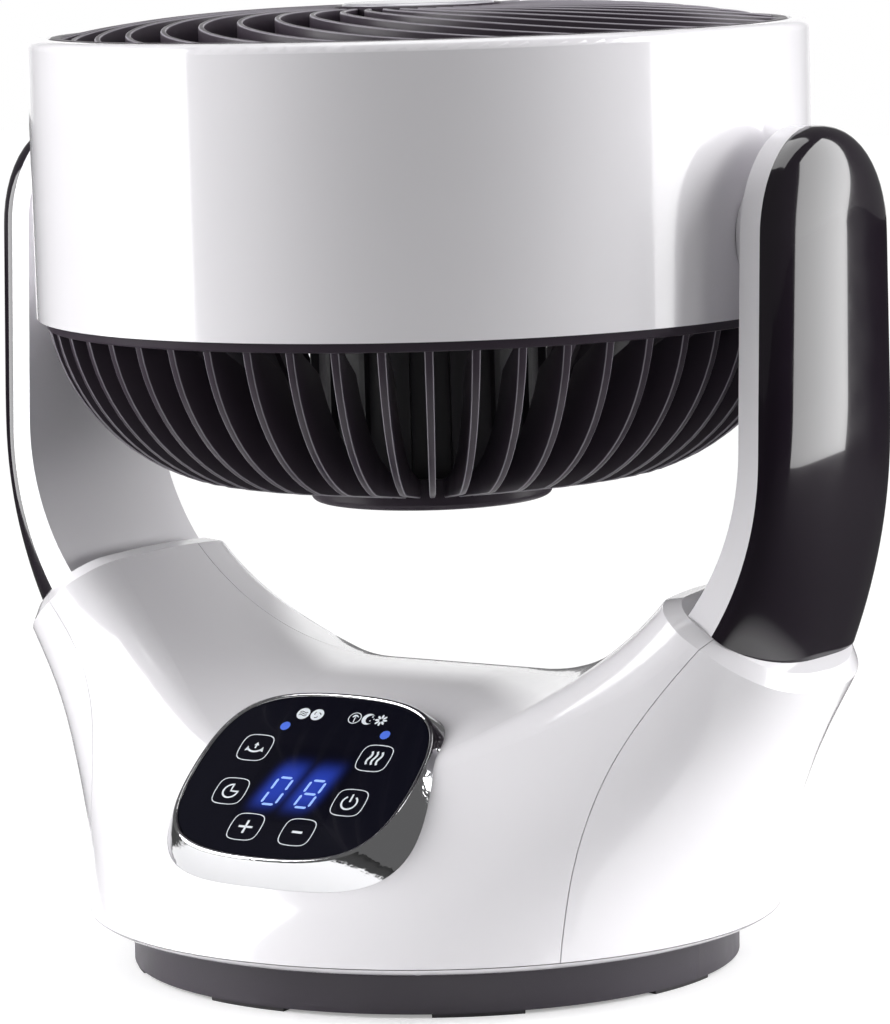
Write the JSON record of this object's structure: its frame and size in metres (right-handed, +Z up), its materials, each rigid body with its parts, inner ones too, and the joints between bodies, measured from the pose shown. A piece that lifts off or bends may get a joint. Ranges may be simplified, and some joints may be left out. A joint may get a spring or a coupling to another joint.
{
  "type": "air circulator fan",
  "caption": "Table air circulator fan: round drum head tilting between two arms on a swinging base with a touch panel, standing on a fixed round foot.",
  "frame": {"origin": "on the table under the middle of the foot", "axes": "+Z up, the control panel and the front face -Y, +X to the right seen from the front"},
  "size_m": [0.3056, 0.2516, 0.309],
  "materials": {
    "white_gloss": "high gloss white moulding",
    "black_gloss": "high gloss black moulding with an aubergine tint",
    "grille_black": "satin black moulding",
    "foot_grey": "satin dark grey moulding",
    "pad_rubber": "soft rubber",
    "badge_silver": "silver lacquered plastic",
    "bezel_chrome": "chrome plated plastic",
    "panel_black_glass": "black backed touch glass",
    "steel": "bright zinc plated steel",
    "acetal": "natural acetal",
    "frame_plastic": "black structural plastic",
    "motor_black": "black motor casing",
    "fan_black": "satin black moulding",
    "board_green": "lacquered circuit board",
    "motor_iron": "laminated iron"
  },
  "bodies": {
    "foot": {"foot_plate": "foot_grey", "foot_pads": "pad_rubber", "foot_screws": "steel", "spindle": "frame_plastic", "thrust_ring": "acetal", "fixed_gear": "acetal", "spindle_retainer": "steel"},
    "housing": {"base_tray": "white_gloss", "swing_bush": "acetal", "shell_screws": "steel", "front_shell": "white_gloss", "rear_shell": "white_gloss", "swing_motor_bracket": "frame_plastic", "swing_motor": "steel", "main_board": "board_green", "control_board": "board_green", "panel_bezel": "bezel_chrome", "panel_glass": "panel_black_glass", "cord_inlet": "frame_plastic", "arm_inner_left": "white_gloss", "arm_inner_right": "white_gloss", "arm_cover_left": "black_gloss", "arm_cover_right": "black_gloss", "arm_screws": "steel", "pivot_bush_left": "acetal", "pivot_bush_right": "acetal", "tilt_motor": "steel"},
    "swing_pinion": {"swing_pinion": "acetal"},
    "tilt_pinion": {"tilt_pinion": "acetal"},
    "head": {"drum_shell": "white_gloss", "front_grille": "grille_black", "hub_badge": "badge_silver", "rear_grille": "grille_black", "rear_cap": "grille_black", "grille_screws": "steel", "motor_housing": "motor_black", "motor_cover": "motor_black", "stator": "motor_iron", "motor_bearings": "steel", "pivot_shaft_left": "frame_plastic", "pivot_shaft_right": "frame_plastic", "pivot_nuts": "steel", "tilt_gear": "acetal"},
    "fan": {"motor_shaft": "steel", "rotor": "motor_iron", "fan_blades": "fan_black", "fan_nut": "steel"}
  },
  "joints": [
    {"name": "swing", "type": "hinge", "parent": "foot", "child": "housing", "pos_m": [0, 0, 0.02], "axis": [0, 0, 1], "range_deg": [-45, 45]},
    {"name": "swing_pinion_spin", "type": "hinge", "parent": "housing", "child": "swing_pinion", "pos_m": [0, 0.0375, 0.026], "axis": [0, 0, 1], "range_deg": [-136, 136]},
    {"name": "tilt", "type": "hinge", "parent": "housing", "child": "head", "pos_m": [0, 0, 0.2363], "axis": [1, 0, 0], "range_deg": [-1.17, 88.83]},
    {"name": "tilt_pinion_spin", "type": "hinge", "parent": "housing", "child": "tilt_pinion", "pos_m": [0.139, 0, 0.20817], "axis": [1, 0, 0], "range_deg": [-178.5, 3]},
    {"name": "fan_spin", "type": "hinge", "parent": "head", "child": "fan", "pos_m": [0, 0, 0.2363], "axis": [0, -0.0204, 0.9998], "continuous": true}
  ],
  "couplings": [
    {"joint": "swing_pinion_spin", "follows": "swing", "ratio": 3},
    {"joint": "tilt_pinion_spin", "follows": "tilt", "ratio": -2}
  ]
}
